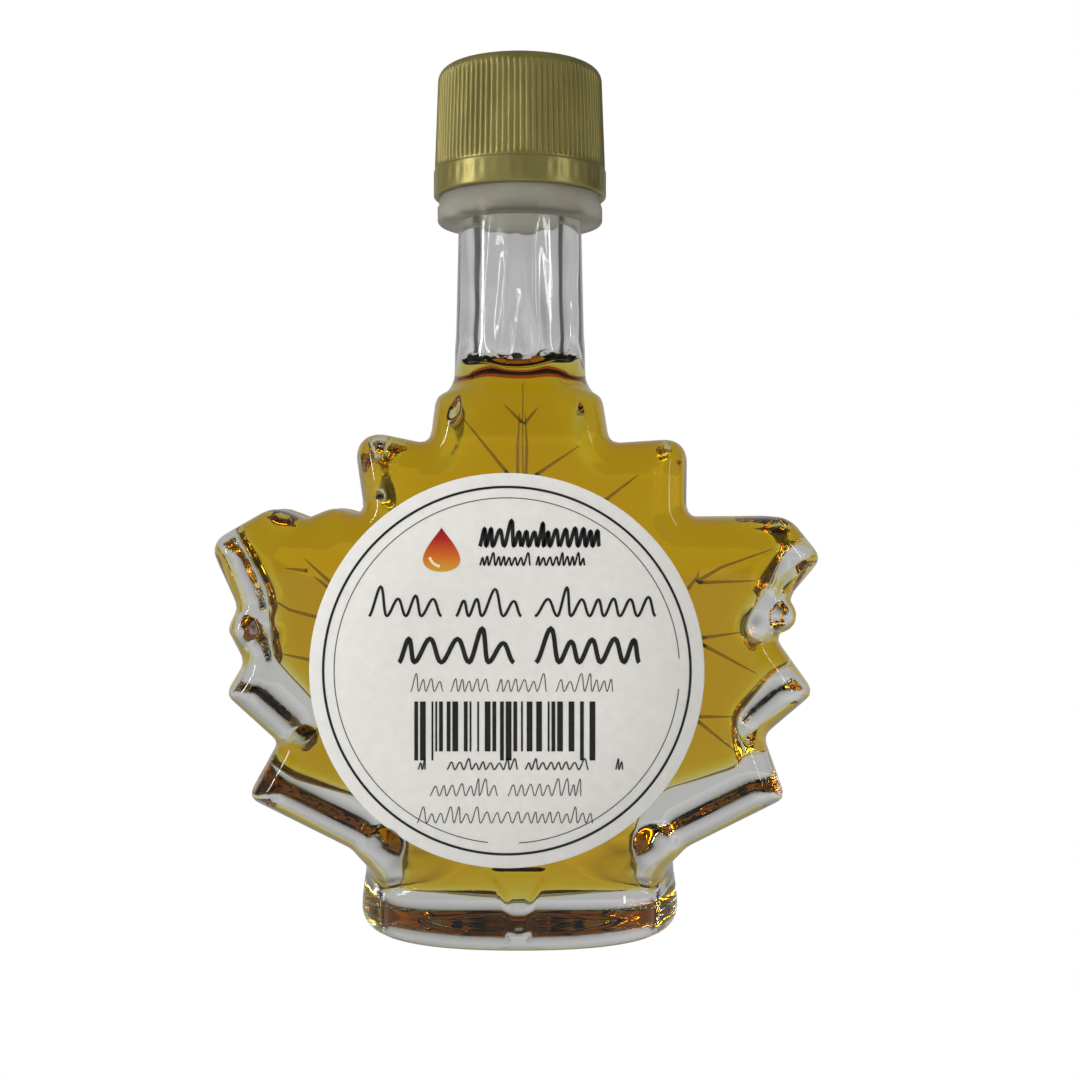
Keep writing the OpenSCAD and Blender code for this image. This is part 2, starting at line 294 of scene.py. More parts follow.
STEM_TOP, STEM_WAIST, STEM_END = 9.6, 5.2, 3.4  # heights along the stem
STEM_WIDE, STEM_NARROW = 3.5, 1.35  # its half widths there


def stem_field(x, y, z):
    """The leaf's stem, raised on the front and back of the foot: a strip that narrows downwards and ends round,
    standing out from the foot's oval by a little."""
    share = np.clip((z - STEM_WAIST) / (STEM_TOP - STEM_WAIST), 0, 1)
    half = STEM_NARROW + (STEM_WIDE - STEM_NARROW) * share**1.6
    beside = np.hypot(x, np.minimum(z - STEM_END, 0)) - half
    return soft_max(soft_max(beside, np.abs(y) - (FOOT_D / 2 + 0.05), 0.9), z - STEM_TOP, 0.8)


def outside_field(x, y, z):
    """Leaf, foot and neck, run together."""
    body = soft_min(leaf_field(x, y, z), foot_field(x, y, z), 1.2)
    body = soft_min(soft_min(body, stem_field(x, y, z), 0.5), bead_field(x, y, z), 0.6)
    return soft_min(body, neck_field(x, y, z), 2.0)


# %% The hollow inside
FACE_WALL, HOLLOW_REACH, HOLLOW_BLEND = 2.1, 0.6, 5.0
FLOOR_Z, KEEL_RISE, BORE_R = 3.8, 2.4, 4.7
HOLLOW_TOP = 56.6


def wander(x, y, z):
    """A slow uneven swelling of a few tenths of a millimetre: three crossed waves."""
    return (0.16 * np.sin(x / 2.9 + 1.3) * np.sin(z / 3.7 + y / 5.0)
            + 0.12 * np.sin(y / 2.3 + x / 4.1 + 0.7) * np.sin(z / 5.3 - 0.4)
            + 0.08 * np.sin((x + z) / 1.9) * np.sin((y - z) / 2.7))


# Folds in the neck's inner wall: [direction in degrees, lean in degrees for each mm up, lowest z, highest z,
# half width in degrees, depth in mm]. The front of the bottle is at -90.
FOLDS = [
    [-112, 1.6, 64, 78, 7, 0.5], [-78, -0.5, 62, 74, 6, 0.75], [-62, -2.2, 63, 72, 5, 0.5],
    [-98, 0.3, 70, 84, 5, 0.3], [-128, 0.8, 66, 86, 9, 0.4], [-48, -0.6, 64, 86, 8, 0.35],
    [85, 0.9, 64, 80, 8, 0.6], [60, -0.7, 66, 84, 9, 0.5],
    [118, 0.4, 64, 76, 9, 0.5], [170, 0.3, 64, 82, 12, 0.4], [8, -0.4, 64, 82, 12, 0.4],
]


def folds(angle, z):
    """The sum of the folds: each is a Gaussian across its width and rises and dies out along its height."""
    total = 0 * z
    for toward, lean, z0, z1, wide, deep in FOLDS:
        off = (np.degrees(angle) - toward - lean * (z - z0) + 180) % 360 - 180
        share = np.clip((z - z0) / (z1 - z0), 0, 1)
        total = total + deep * np.exp(-0.5 * (off / wide) ** 2) * np.sin(np.pi * share) * (1 - 0.5 * share)
    return total


def hollow_field(x, y, z):
    """The hollow's outline moved outwards, cut by the inner faces with a wide rounding and by the floor, joined
    to a bore whose wall wanders and folds."""
    up = z - FOOT_H
    side = look_up(hollow_map, x, up) - HOLLOW_REACH
    leaf = soft_max(side, np.abs(y) - (half_depth(up) - FACE_WALL), HOLLOW_BLEND)
    keel = FLOOR_Z + KEEL_RISE * np.abs(x / 14) ** 1.4
    leaf = soft_max(leaf, keel - z, 3.4)
    leaf = soft_max(leaf, up - HOLLOW_TOP, 2.0)
    angle = np.arctan2(y, x)
    low = np.clip((80 - z) / 16, 0, 1)
    dents = (0.3 * low * np.sin(3 * angle + z / 6) + 0.14 * np.sin(2 * angle + z / 9 + 1)
             + 0.06 * np.sin(5 * angle - z / 4))
    bore = soft_max(np.hypot(x, y) - (BORE_R + 0.4 * dents - folds(angle, z)), 58 + FOOT_H - 8 - z, 1.0)
    return soft_min(leaf, bore, 2.5) + wander(x, y, z) * 0.6


def glass_field(x, y, z):
    """What is inside the outer surface and outside the hollow."""
    return soft_max(outside_field(x, y, z), -hollow_field(x, y, z), 0.4)


# %% [markdown]
# ## From a field to a surface
#
# The field is sampled on a grid of small boxes. Each box that the surface passes through gets one point, at
# the mean of the places where its edges are crossed, and each crossed edge gets a four-sided face between
# the four boxes round it. Then each point is moved along the field's slope until it lies on the surface, and
# the slope gives its normal too, so the glass bends light evenly in spite of the grid.

# %% Surface of a field: how often each point is pulled onto it, and the least slope squared to divide by
PULLS = 3
LEAST_SLOPE = 0.05


def crossings(field, axis):
    """Where the field changes sign along one axis: a mask of edges, and the share of the way along each."""
    low = np.take(field, np.arange(field.shape[axis] - 1), axis)
    high = np.take(field, np.arange(1, field.shape[axis]), axis)
    crossed = (low < 0) != (high < 0)
    return crossed, np.where(crossed, low / np.where(crossed, low - high, 1), 0), low < 0


def surface_of(field_of, lines):
    """Points, four-sided faces and normals of the surface where field_of is zero, on a grid with those lines."""
    x, y, z = lines
    field = field_of(x[:, None, None], y[None, :, None], z[None, None, :])
    shape = tuple(n - 1 for n in field.shape)
    total, count = np.zeros(shape + (3,)), np.zeros(shape)
    edges = []
    for axis in range(3):
        crossed, share, low_inside = crossings(field, axis)
        others = [a for a in range(3) if a != axis]
        spot = np.argwhere(crossed)
        place = spot.astype(float)
        place[:, axis] += share[crossed]
        for da in (0, 1):
            for db in (0, 1):
                box = spot.copy()
                box[:, others[0]] -= da
                box[:, others[1]] -= db
                index = tuple(box.T)
                np.add.at(total, index, place)
                np.add.at(count, index, 1)
        edges.append((spot, others, low_inside[crossed], axis))
    number = np.full(shape, -1)
    used = np.argwhere(count > 0)
    number[tuple(used.T)] = np.arange(len(used))
    mean = total[tuple(used.T)] / count[tuple(used.T)][:, None]
    points = np.stack([np.interp(mean[:, a], np.arange(len(lines[a])), lines[a]) for a in range(3)], 1)
    faces = []
    for spot, others, low_inside, axis in edges:
        ring = []
        for da, db in ((0, 0), (1, 0), (1, 1), (0, 1)):
            box = spot.copy()
            box[:, others[0]] -= da
            box[:, others[1]] -= db
            ring.append(number[tuple(box.T)])
        ring = np.stack(ring, 1)
        outward = low_inside if axis != 1 else ~low_inside
        faces.append(np.where(outward[:, None], ring, ring[:, ::-1]))
    for _ in range(PULLS):
        value, slope = field_and_slope(field_of, points)
        points = points - slope * (value / np.maximum((slope**2).sum(1), LEAST_SLOPE))[:, None]
    slope = field_and_slope(field_of, points)[1]
    return points, np.concatenate(faces), unit(slope)


def field_and_slope(field_of, points, h=0.12):
    """The field at each point, and its slope from the difference over 2h along each axis."""
    x, y, z = points.T
    slope = np.stack([
        field_of(x + h, y, z) - field_of(x - h, y, z),
        field_of(x, y + h, z) - field_of(x, y - h, z),
        field_of(x, y, z + h) - field_of(x, y, z - h),
    ], 1) / (2 * h)
    return field_of(x, y, z), slope


# %% [markdown]
# ## Finishes of the glass and the syrup
#
# Bottle glass bends light by about 1.5 and is clear, with a slight ripple where it cooled against the mould. Where
# syrup wets the glass, light hardly bends at all, because the two are so alike: there the inner wall has a
# finish of its own with the ratio of the two, 1.02, and the syrup's side bends nothing. The syrup's colour
# comes from its depth: it takes a little red, more green and nearly all blue from each millimetre, so it is
# yellow where it is thin and brown where light crosses it lengthways. Its free top bends light by 1.47.

# %% Node helpers
def new_material(name):
    """An empty node material: itself, its nodes, its links and its Principled shader."""
    material = bpy.data.materials.new(name)
    material.use_nodes = True
    nodes = material.node_tree.nodes
    return material, nodes, material.node_tree.links, nodes["Principled BSDF"]


def set_values(shader, **values):
    """Plain values for sockets, with underscores in place of the spaces in their names."""
    for name, value in values.items():
        shader.inputs[name.replace("_", " ")].default_value = value


def noise_of(nodes, links, scale, detail=2.0, stretch=(1, 1, 1)):
    """Noise on Object coordinates, stretched along an axis where stretch is small."""
    place = nodes.new("ShaderNodeMapping")
    place.inputs["Scale"].default_value = stretch
    links.new(nodes.new("ShaderNodeTexCoord").outputs["Object"], place.inputs["Vector"])
    noise = nodes.new("ShaderNodeTexNoise")
    set_values(noise, Scale=scale, Detail=detail)
    links.new(place.outputs["Vector"], noise.inputs["Vector"])
    return noise.outputs["Fac"]


def ramp_of(nodes, links, factor, *stops):
    """A colour ramp over a factor, from stops of (position, colour)."""
    ramp = nodes.new("ShaderNodeValToRGB")
    elements = ramp.color_ramp.elements
    while len(elements) < len(stops):
        elements.new(0.5)
    for element, (position, colour) in zip(elements, stops):
        element.position = position
        element.color = (*colour, 1)
    links.new(factor, ramp.inputs["Fac"])
    return ramp.outputs["Color"]


def add_bump(nodes, links, shader, height, strength, distance):
    """A bump from a height socket, with its distance in metres."""
    bump = nodes.new("ShaderNodeBump")
    set_values(bump, Strength=strength, Distance=distance)
    links.new(height, bump.inputs["Height"])
    links.new(bump.outputs["Normal"], shader.inputs["Normal"])


def clear_finish(name, ior, ripple=0.0, colour=(0.99, 0.997, 0.994)):
    """A clear finish that bends light by that ratio, with a ripple of a slow noise."""
    material, nodes, links, shader = new_material(name)
    set_values(shader, Base_Color=(*colour, 1), Roughness=0.0, IOR=ior, Transmission_Weight=1.0)
    if ripple:
        add_bump(nodes, links, shader, noise_of(nodes, links, 120, 1.0), ripple, 0.0004)
    return material


# %% Finishes
glass_finish = clear_finish("clear_glass", 1.5, 0.12)
wet_finish = clear_finish("syrup_wet_glass", 1.02)
top_finish = clear_finish("syrup_top", 1.47, 0.05)
syrup_finish, nodes, links, shader = new_material("amber_syrup")
set_values(shader, Base_Color=(1, 1, 1, 1), Roughness=0.0, IOR=1.001, Transmission_Weight=1.0)
depth_colour = nodes.new("ShaderNodeVolumeAbsorption")
set_values(depth_colour, Color=(0.966, 0.868, 0.0, 1), Density=250)
links.new(depth_colour.outputs["Volume"], nodes["Material Output"].inputs["Volume"])
print("made", glass_finish.name, wet_finish.name, top_finish.name, syrup_finish.name)

# %% [markdown]
# ## Moulding the glass and pouring the syrup
#
# The glass is one closed piece: outside, hollow and mouth together. Its grid is finer round the neck, where
# the wall folds. The syrup reaches a little way into the glass all round, so that no film of air shows
# between them, and its top curls up where it wets the wall.

# %% Glass
GRID = 0.61
FINE = 0.75
INTO_WALL = 0.12
WET_RISE = 1.4


def grid_lines(low, high, step, fine_low=0.0, fine_high=0.0):
    """Grid lines from one and a half steps below low to past high, closer together in the fine part."""
    edges = [low - 1.5 * step, fine_low, fine_high, high + 1.5 * step]
    parts = []
    for start, end, size in zip(edges[:-1], edges[1:], (step, step * FINE, step)):
        if end > start:
            parts.append(np.linspace(start, end, max(2, round((end - start) / size) + 1)))
    return np.unique(np.concatenate(parts).round(6))


NECK_HALF = 8.6
glass_lines = (
    grid_lines(glass_low[0], glass_high[0], GRID, -NECK_HALF, NECK_HALF),
    grid_lines(glass_low[1], glass_high[1], GRID, -NECK_HALF, NECK_HALF),
    grid_lines(0, MOUTH_Z, GRID, LEVEL_Z - 5, LEVEL_Z + WET_RISE),
)
points, faces, normals = surface_of(glass_field, glass_lines)
middle = points[faces].mean(1)
inner = outside_field(*middle.T) < -0.35
wet = inner & (middle[:, 2] < LEVEL_Z + WET_RISE)
glass = make_piece("leaf_glass", points, faces, glass_finish, normals, second=(wet_finish, wet))
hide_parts("glass")

# %% Syrup
LEVEL_DROP = 1.3


def level_at(x, y):
    """The height of the syrup's top: level in the middle, curling up steeply at the wall of the bore, and a
    little higher on one side."""
    far = np.hypot(x, y)
    curl = np.exp(-np.maximum(BORE_R - far, 0) / 1.2)
    return LEVEL_Z - LEVEL_DROP + 0.05 * x + (LEVEL_DROP + WET_RISE + 0.15) * curl


def syrup_field(x, y, z):
    """The hollow grown into the wall, below its own top."""
    return soft_max(hollow_field(x, y, z) - INTO_WALL, z - level_at(x, y), 0.15)


syrup_lines = (
    grid_lines(syrup_low[0], syrup_high[0], GRID, -NECK_HALF, NECK_HALF),
    grid_lines(syrup_low[1], syrup_high[1], GRID, -NECK_HALF, NECK_HALF),
    grid_lines(syrup_low[2], syrup_high[2], GRID, LEVEL_Z - 5, LEVEL_Z + WET_RISE + 0.6),
)
points, faces, normals = surface_of(syrup_field, syrup_lines)
syrup = make_piece("amber_fill", points, faces, syrup_finish, normals)
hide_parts("syrup")

# %% Free top of the syrup
middle = points[faces].mean(1)
free = (middle[:, 2] - level_at(middle[:, 0], middle[:, 1]) > -0.12) & (unit(normals[faces].mean(1))[:, 2] > 0.15)
used, flat = np.unique(faces[free], return_inverse=True)
top = make_piece("syrup_surface", points[used] + normals[used] * 0.01, flat.reshape(-1, 4), top_finish,
                 normals[used])

# %% [markdown]
# ## The veins
#
# The leaf's veins stand up from the front as thin rounded ridges, cut into the mould as fine grooves, and the
# back has one down its middle. Each is
# a path of a few points with a half-round section of its own, which tapers towards its tip and sinks a little
# into the face, so the light goes straight on through the join.

# %% Veins, as rows of [across, up from the foot]
VEINS = [
    [[-0.1, 44], [-0.1, 48], [0.1, 51.6]], [[0.8, 44], [0.9, 48], [0.7, 51.6]],
    [[0.4, 50.6], [-1.6, 52.6]], [[0.6, 50.4], [2.1, 52.3]],
    [[-1.1, 44.8], [-6.1, 51]], [[1.8, 44.7], [6.7, 48]], [[9.3, 41.8], [13.2, 44.8]],
    [[-20.2, 32.4], [-23.6, 35.5]], [[-23.3, 34.2], [-25.7, 34.5]], [[-20.6, 32], [-22.6, 33.6]],
    [[-21.6, 28.9], [-25.3, 29.9], [-27.1, 31]], [[-22.2, 24.2], [-26.4, 25.1]],
    [[18.7, 32.2], [19.7, 33.5], [19.9, 34.2]], [[19.6, 33], [22.4, 34.6], [28, 36.6]], [[19.8, 32.9], [26.2, 33.1]],
    [[20.2, 26.8], [24.5, 27.4]], [[20.2, 26.1], [26.2, 22.9]],
    [[19.6, 18.1], [23.7, 18.1]], [[19.4, 17.9], [24.2, 14.1]],
]
BACK_VEINS = [[[0.3, 3.5], [0.3, 51]]]
VEIN_HALF, VEIN_RISE, VEIN_SINK = 0.2, 0.12, 0.05
VEIN_SECTION = 9


def vein(path, side):
    """A ridge along a path on one face: its section is half an ellipse above the face and a shallow one below,
    both scaled by a width that falls off as the square root of the distance left to the tip."""
    path = np.array(path, float)
    t = np.linspace(0, len(path) - 1, 6 * (len(path) - 1) + 1)
    x, up = (np.interp(t, np.arange(len(path)), path[:, a]) for a in (0, 1))
    along = unit(np.stack([np.gradient(x), np.gradient(up)], 1))
    size = np.sqrt(np.clip(1.02 - np.linspace(0, 1, len(t)), 0.02, 1))[:, None]
    turn = np.linspace(0, 2 * np.pi, 2 * VEIN_SECTION, endpoint=False)[None, :]
    off = VEIN_HALF * size * np.cos(turn)
    rise = np.where(np.sin(turn) > 0, VEIN_RISE, VEIN_SINK) * size * np.sin(turn)
    px = x[:, None] - along[:, 1:] * off
    pu = up[:, None] + along[:, :1] * off
    depth = half_depth(pu) + rise - 0.01
    points = np.stack([px, side * depth, pu + FOOT_H], -1).reshape(-1, 3)
    rows, n = len(t), 2 * VEIN_SECTION
    i, k = np.meshgrid(np.arange(rows - 1), np.arange(n), indexing="ij")
    a, b = i * n + k, i * n + (k + 1) % n
    quads = np.stack([a, b, b + n, a + n], -1).reshape(-1, 4)
    quads = quads if side < 0 else quads[:, ::-1]
    ends = [list(range(n)), list(range((rows - 1) * n, rows * n))]
    ends = [ends[0][::-1], ends[1]] if side < 0 else [ends[0], ends[1][::-1]]
    return points, quads.tolist() + ends


def joined(parts):
    """Several sets of points and faces as one."""
    points, faces, start = [], [], 0
    for part_points, part_faces in parts:
        points.append(part_points)
        faces += [[start + int(i) for i in face] for face in part_faces]
        start += len(part_points)
    return np.concatenate(points), faces


points, faces = joined([vein(path, -1) for path in VEINS] + [vein(path, 1) for path in BACK_VEINS])
# The veins' glass is tinted brown. This is painted shade: it stands in for the dark lines that the clear ridges make
# by bending light.
vein_painted_shade_finish = clear_finish("vein_glass_painted_shade", 1.5, colour=(0.55, 0.46, 0.3))
make_piece("leaf_veins", points, faces, vein_painted_shade_finish)

# %% [markdown]
# ## Turned pieces
#
# Cap and ring are round, so each is a profile of radius against height, carried round the bottle's axis. A
# function of the angle and the height may change the radius, which gives the cap its ribs.

# %% Turning helper
def turned(profile, count, shape=None, closed=False):
    """Points at every angle for every profile point, and the faces between them. An open profile starts and
    ends on the axis, where its ring is one point."""
    angle = np.arange(count) * 2 * np.pi / count
    r, z = profile[:, 0:1], profile[:, 1:2]
    r = r + np.zeros(count)
    z = z + np.zeros(count)
    if shape is not None:
        r = shape(r, z, angle[None, :])
    grid = np.stack([r * np.cos(angle), r * np.sin(angle), z], -1)
    rows = len(profile)
    number = np.arange(rows * count).reshape(rows, count)
    if closed:
        number = np.concatenate([number, number[:1]])
    elif profile[0, 0] == 0:
        number[0] = number[0, 0]
        number[-1] = number[-1, 0]
    a, b = number[:-1], number[1:]
    quads = np.stack([a, b, np.roll(b, -1, 1), np.roll(a, -1, 1)], -1).reshape(-1, 4)
    used, flat = np.unique(quads, return_inverse=True)
    quads = flat.reshape(quads.shape)
    faces = [list(dict.fromkeys(q)) for q in quads.tolist()]
    return grid.reshape(-1, 3)[used], faces


def arc(centre, radius, start, end, steps=7):
    """Points of an arc in the profile's plane, with angles in degrees."""
    t = np.radians(np.linspace(start, end, steps))
    return np.stack([centre[0] + radius * np.cos(t), centre[1] + radius * np.sin(t)], 1)


# %% [markdown]
# ## The cap
#
# The cap is gold-coloured plastic with fine ribs for grip, a plain band below them and a rounded top edge.
# The ribs are real relief, ninety of them, because their crests and grooves catch the light as fine lines.

# %% Cap
RIBS = 90
BAND_FLUTES, BAND_FLUTE = 45, 0.05
RIB_DEPTH = 0.26
BAND_H = 3.1
CAP_LEAN = 0.5
cap_r = cap_high[0]
top_z, foot_z = cap_high[2], cap_low[2]
top_r = cap_r - CAP_LEAN
TOP_ROUND, CROWN = 1.5, 0.28
wall = np.stack([np.linspace(cap_r - 0.12, top_r, 24),
                 np.linspace(foot_z + BAND_H + 0.25, top_z - TOP_ROUND, 24)], 1)
cap_profile = np.concatenate([
    [[0, top_z + CROWN], [top_r * 0.35, top_z + 0.24], [top_r * 0.65, top_z + 0.12],
     [top_r - TOP_ROUND - 0.3, top_z + 0.01]],
    arc((top_r - TOP_ROUND, top_z - TOP_ROUND), TOP_ROUND, 88, 4, 10),
    wall[::-1],
    [[cap_r - 0.1, foot_z + BAND_H + 0.12]],
    arc((cap_r - 0.2, foot_z + BAND_H - 0.2), 0.2, 80, 0, 4),
    np.stack([np.full(6, cap_r), np.linspace(foot_z + 2.6, foot_z + 0.5, 6)], 1),
    arc((cap_r - 0.25, foot_z + 0.25), 0.25, 0, -90, 4),
    [[FINISH_R + 0.3, foot_z], [FINISH_R + 0.3, MOUTH_Z], [0, MOUTH_Z]],
])


def with_ribs(r, z, angle):
    """The radius less the rib's groove: the groove is deepest half way between crests, and fades out at the
    band and at the top edge. It only cuts the outside."""
    groove = 1 - np.abs(np.cos(angle * RIBS / 2)) ** 0.7
    fade = np.clip((z - foot_z - BAND_H - 0.15) / 0.35, 0, 1) * np.clip((top_z - 0.75 - z) / 1.0, 0, 1)
    outside = r > FINISH_R + 0.6
    on_band = np.clip((foot_z + BAND_H - 0.3 - z) / 0.5, 0, 1) * np.clip((z - foot_z - 0.5) / 0.8, 0, 1)
    flute = BAND_FLUTE * (0.5 - 0.5 * np.cos(angle * BAND_FLUTES)) * on_band
    return r - (RIB_DEPTH * groove * fade + flute) * outside


points, faces = turned(cap_profile, RIBS * 8, with_ribs)

cap_finish, nodes, links, shader = new_material("gold_plastic")
cloud = noise_of(nodes, links, 260, 3, (1, 1, 0.5))
links.new(ramp_of(nodes, links, cloud, (0.35, (0.29, 0.25, 0.08)), (0.65, (0.36, 0.315, 0.105))),
          shader.inputs["Base Color"])
set_values(shader, Metallic=0.7, Roughness=0.36)
add_bump(nodes, links, shader, noise_of(nodes, links, 2600), 0.25, 0.00006)
cap = make_piece("ribbed_cap", points, faces, cap_finish)
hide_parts("cap")

# %% [markdown]
# ## The tamper ring
#
# The ring is thin milky plastic that lets light through. It has a rounded lower edge, a flat underside and
# a fine step round its side.

# %% Ring
ring_r = ring_high[0]
rz0, rz1 = ring_low[2], cap_low[2]
RING_EDGE, RING_STEP = 0.5, 0.16
ring_profile = np.concatenate([
    [[NECK_R + 0.1, rz0 + 0.2], [NECK_R + 0.25, rz0]],
    arc((ring_r - RING_EDGE, rz0 + RING_EDGE), RING_EDGE, -90, 0, 9),
    [[ring_r, rz0 + 1.9], [ring_r - RING_STEP, rz0 + 2.02], [ring_r - RING_STEP, rz1 - 0.02]],
    [[NECK_R + 0.1, rz1 - 0.02]],
])
points, faces = turned(ring_profile[::-1], 192, closed=True)
ring_finish, nodes, links, shader = new_material("milky_plastic")
cloud = noise_of(nodes, links, 180, 2, (1, 1, 2))
milky = ramp_of(nodes, links, cloud, (0.3, (0.72, 0.69, 0.6)), (0.7, (0.79, 0.765, 0.68)))
links.new(milky, shader.inputs["Base Color"])
set_values(shader, Roughness=0.34, IOR=1.2, Transmission_Weight=0.85, Subsurface_Weight=0.4,
           Subsurface_Radius=(0.004, 0.004, 0.0035), Subsurface_Scale=0.5)
tamper_ring = make_piece("tamper_band", points, faces, ring_finish)
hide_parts("tamper_ring")

# %% [markdown]
# ## The label
#
# The label is a disc of white paper. Its print is generic: a bold ring and a thin ring near the edge, a
# drop of syrup, wavy lines in place of words, and a block of made-up stripes. Each printed shape is a thin
# flat piece of ink just in front of the paper.

# %% Paper
label_r = (label_high[0] - label_low[0]) / 2
label_x = (label_high[0] + label_low[0]) / 2
label_z = (label_high[2] + label_low[2]) / 2
PAPER_SUNK = 0.06
paper_back, paper_front = label_high[1] + PAPER_SUNK, label_low[1]
paper_profile = np.array([[0, paper_front], [label_r * 0.5, paper_front], [label_r - 0.06, paper_front],
                          [label_r, paper_front + 0.04], [label_r, paper_back], [label_r * 0.5, paper_back],
                          [0, paper_back]])
points, faces = turned(paper_profile, 256)
points = np.stack([points[:, 0] + label_x, points[:, 2], points[:, 1] + label_z], 1)
paper_finish, nodes, links, shader = new_material("white_paper")
fibres = noise_of(nodes, links, 900, 4)
paper_white = ramp_of(nodes, links, fibres, (0.3, (0.79, 0.775, 0.74)), (0.7, (0.83, 0.82, 0.79)))
links.new(paper_white, shader.inputs["Base Color"])
set_values(shader, Roughness=0.55, Subsurface_Weight=0.6, Subsurface_Radius=(1, 1, 1), Subsurface_Scale=0.0004)
add_bump(nodes, links, shader, fibres, 0.2, 0.00003)
label = make_piece("paper_label", points, faces, paper_finish)
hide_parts("label")

# %% Ink helpers
INK_Y = paper_front - 0.02


def ribbon(path, width):
    """A flat strip of that width along a path of [across, up] points: each point is moved half the width to
    both sides of the path."""
    path = np.array(path, float)
    along = unit(np.gradient(path, axis=0))
    side = np.stack([-along[:, 1], along[:, 0]], 1) * width / 2
    points = np.concatenate([path + side, path - side])
    n = len(path)
    i = np.arange(n - 1)
    return points, np.stack([i, i + n, i + n + 1, i + 1], 1)


def ring_path(radius, start=0.0, end=360.0, steps=180):
    """Points round the label's centre."""
    t = np.radians(np.linspace(start, end, steps))
    return np.stack([radius * np.cos(t), radius * np.sin(t)], 1)


def squiggle(x0, x1, z0, z1, pitch, seed, slant=0.1):
    """A wavy line in place of a word, between two heights: a wave whose crests differ in height and width and
    lean to one side, like quick handwriting, with no letter in it."""
    waves = max(2, int(round((x1 - x0) / pitch)))
    draw = np.random.default_rng(seed)
    tops = draw.uniform(0.55, 0.72, waves + 1)
    tops[draw.integers(0, waves + 1, max(1, waves // 3))] = 1.0
    widths = draw.uniform(0.7, 1.3, waves)
    t = np.linspace(0, waves, waves * 14 + 1)
    across = np.interp(t, np.arange(waves + 1), np.concatenate([[0], np.cumsum(widths)]) / widths.sum())
    rise = 0.5 - 0.5 * np.cos(2 * np.pi * t)
    top = tops[np.minimum(t.astype(int), waves)]
    z = z0 + (z1 - z0) * rise * top
    return np.stack([x0 + (x1 - x0) * across + slant * (z - z0), z], 1)


def bar(x0, x1, z0, z1):
    """A straight strip between two places, x0 to x1 across, as a path up its middle and its width."""
    middle = (x0 + x1) / 2
    return np.array([[middle, z0], [middle, z1]]), x1 - x0


INK_THICK = 0.02


def flat_piece(name, flat, faces, material):
    """A thin closed piece of ink in front of the paper: the flat shape, the same shape behind it, and a rim
    along every edge that only one face has."""
    faces = [list(face) for face in faces]
    n = len(flat)
    front = np.stack([flat[:, 0] + label_x, np.full(n, INK_Y), flat[:, 1] + label_z], 1)
    back = front + (0, INK_THICK, 0)
    sides = {}
    for face in faces:
        for a, b in zip(face, face[1:] + face[:1]):
            if (b, a) in sides:
                del sides[(b, a)]
            else:
                sides[(a, b)] = True
    rim = [[b, a, a + n, b + n] for a, b in sides]
    whole = faces + [[i + n for i in face[::-1]] for face in faces] + rim
    return make_piece(name, np.concatenate([front, back]), whole, material, smooth=False)


def strips_piece(name, strips, material):
    """Strips of (path, width) as one piece of ink."""
    points, faces = joined([ribbon(path, width) for path, width in strips])
    return flat_piece(name, points, faces, material)


def ink(name, low, high):
    """An ink with a faint speckle between two colours."""
    material, nodes, links, shader = new_material(name)
    speckle = noise_of(nodes, links, 1500)
    links.new(ramp_of(nodes, links, speckle, (0.3, low), (0.7, high)), shader.inputs["Base Color"])
    set_values(shader, Roughness=0.45)
    return material


black_ink = ink("black_ink", (0.006, 0.006, 0.007), (0.014, 0.013, 0.013))
grey_ink = ink("grey_ink", (0.035, 0.035, 0.037), (0.055, 0.054, 0.054))
print("inks made")

# %% Rings and lines of print, as rows of [left, right, bottom, top, pitch, stroke]
RINGS = [(20.25, 0, 360, 0.27), (19.05, 4, 263.7, 0.09), (19.05, -86, -6, 0.09)]
DARK_LINES = [
    [-3, 1.6, 13.7, 16.6, 0.95, 0.42], [1.6, 5.8, 13.7, 16.3, 0.9, 0.42], [5.8, 10.2, 13.7, 16.6, 0.95, 0.42],
    [-3, 2.6, 11.6, 13, 0.62, 0.2], [3.2, 8.6, 11.6, 13, 0.62, 0.2],
    [-15.2, -7.2, 6, 9.3, 1.9, 0.3], [-5.6, 1.6, 6, 9, 1.8, 0.3], [3.1, 16.4, 6, 9.2, 1.85, 0.3],
    [-11.9, 0.8, 0.9, 4.7, 2.5, 0.5], [3.2, 14.6, 0.9, 4.7, 2.3, 0.5],
]
THIN_LINES = [
    [-10.6, -7, -2.3, -0.3, 0.9, 0.1], [-6.2, -2, -2.3, -0.3, 0.9, 0.1], [-1.1, 4.4, -2.3, -0.3, 0.9, 0.1],
    [5.4, 11.7, -2.3, -0.3, 0.9, 0.1],
    [-8.5, -1, -13.8, -11.9, 0.95, 0.1], [0.1, 8.2, -13.8, -11.9, 0.95, 0.1],
    [-9.9, 9.5, -16.8, -15, 0.95, 0.1],
    [-6.6, 1.2, -10.9, -9.7, 0.9, 0.16], [2, 9, -10.9, -9.7, 0.9, 0.16], [-9.8, -9, -10.9, -9.7, 0.8, 0.16],
    [12, 12.8, -10.9, -9.7, 0.8, 0.16],
]


def print_lines(rows, seed):
    """The wavy strips for rows of print."""
    return [(squiggle(x0, x1, z0, z1, pitch, seed + i), stroke)
            for i, (x0, x1, z0, z1, pitch, stroke) in enumerate(rows)]


ring_strips = [(ring_path(radius, start, end), width) for radius, start, end, width in RINGS]
strips_piece("dark_print", ring_strips + print_lines(DARK_LINES, 5), black_ink)
strips_piece("thin_print", print_lines(THIN_LINES, 40), grey_ink)

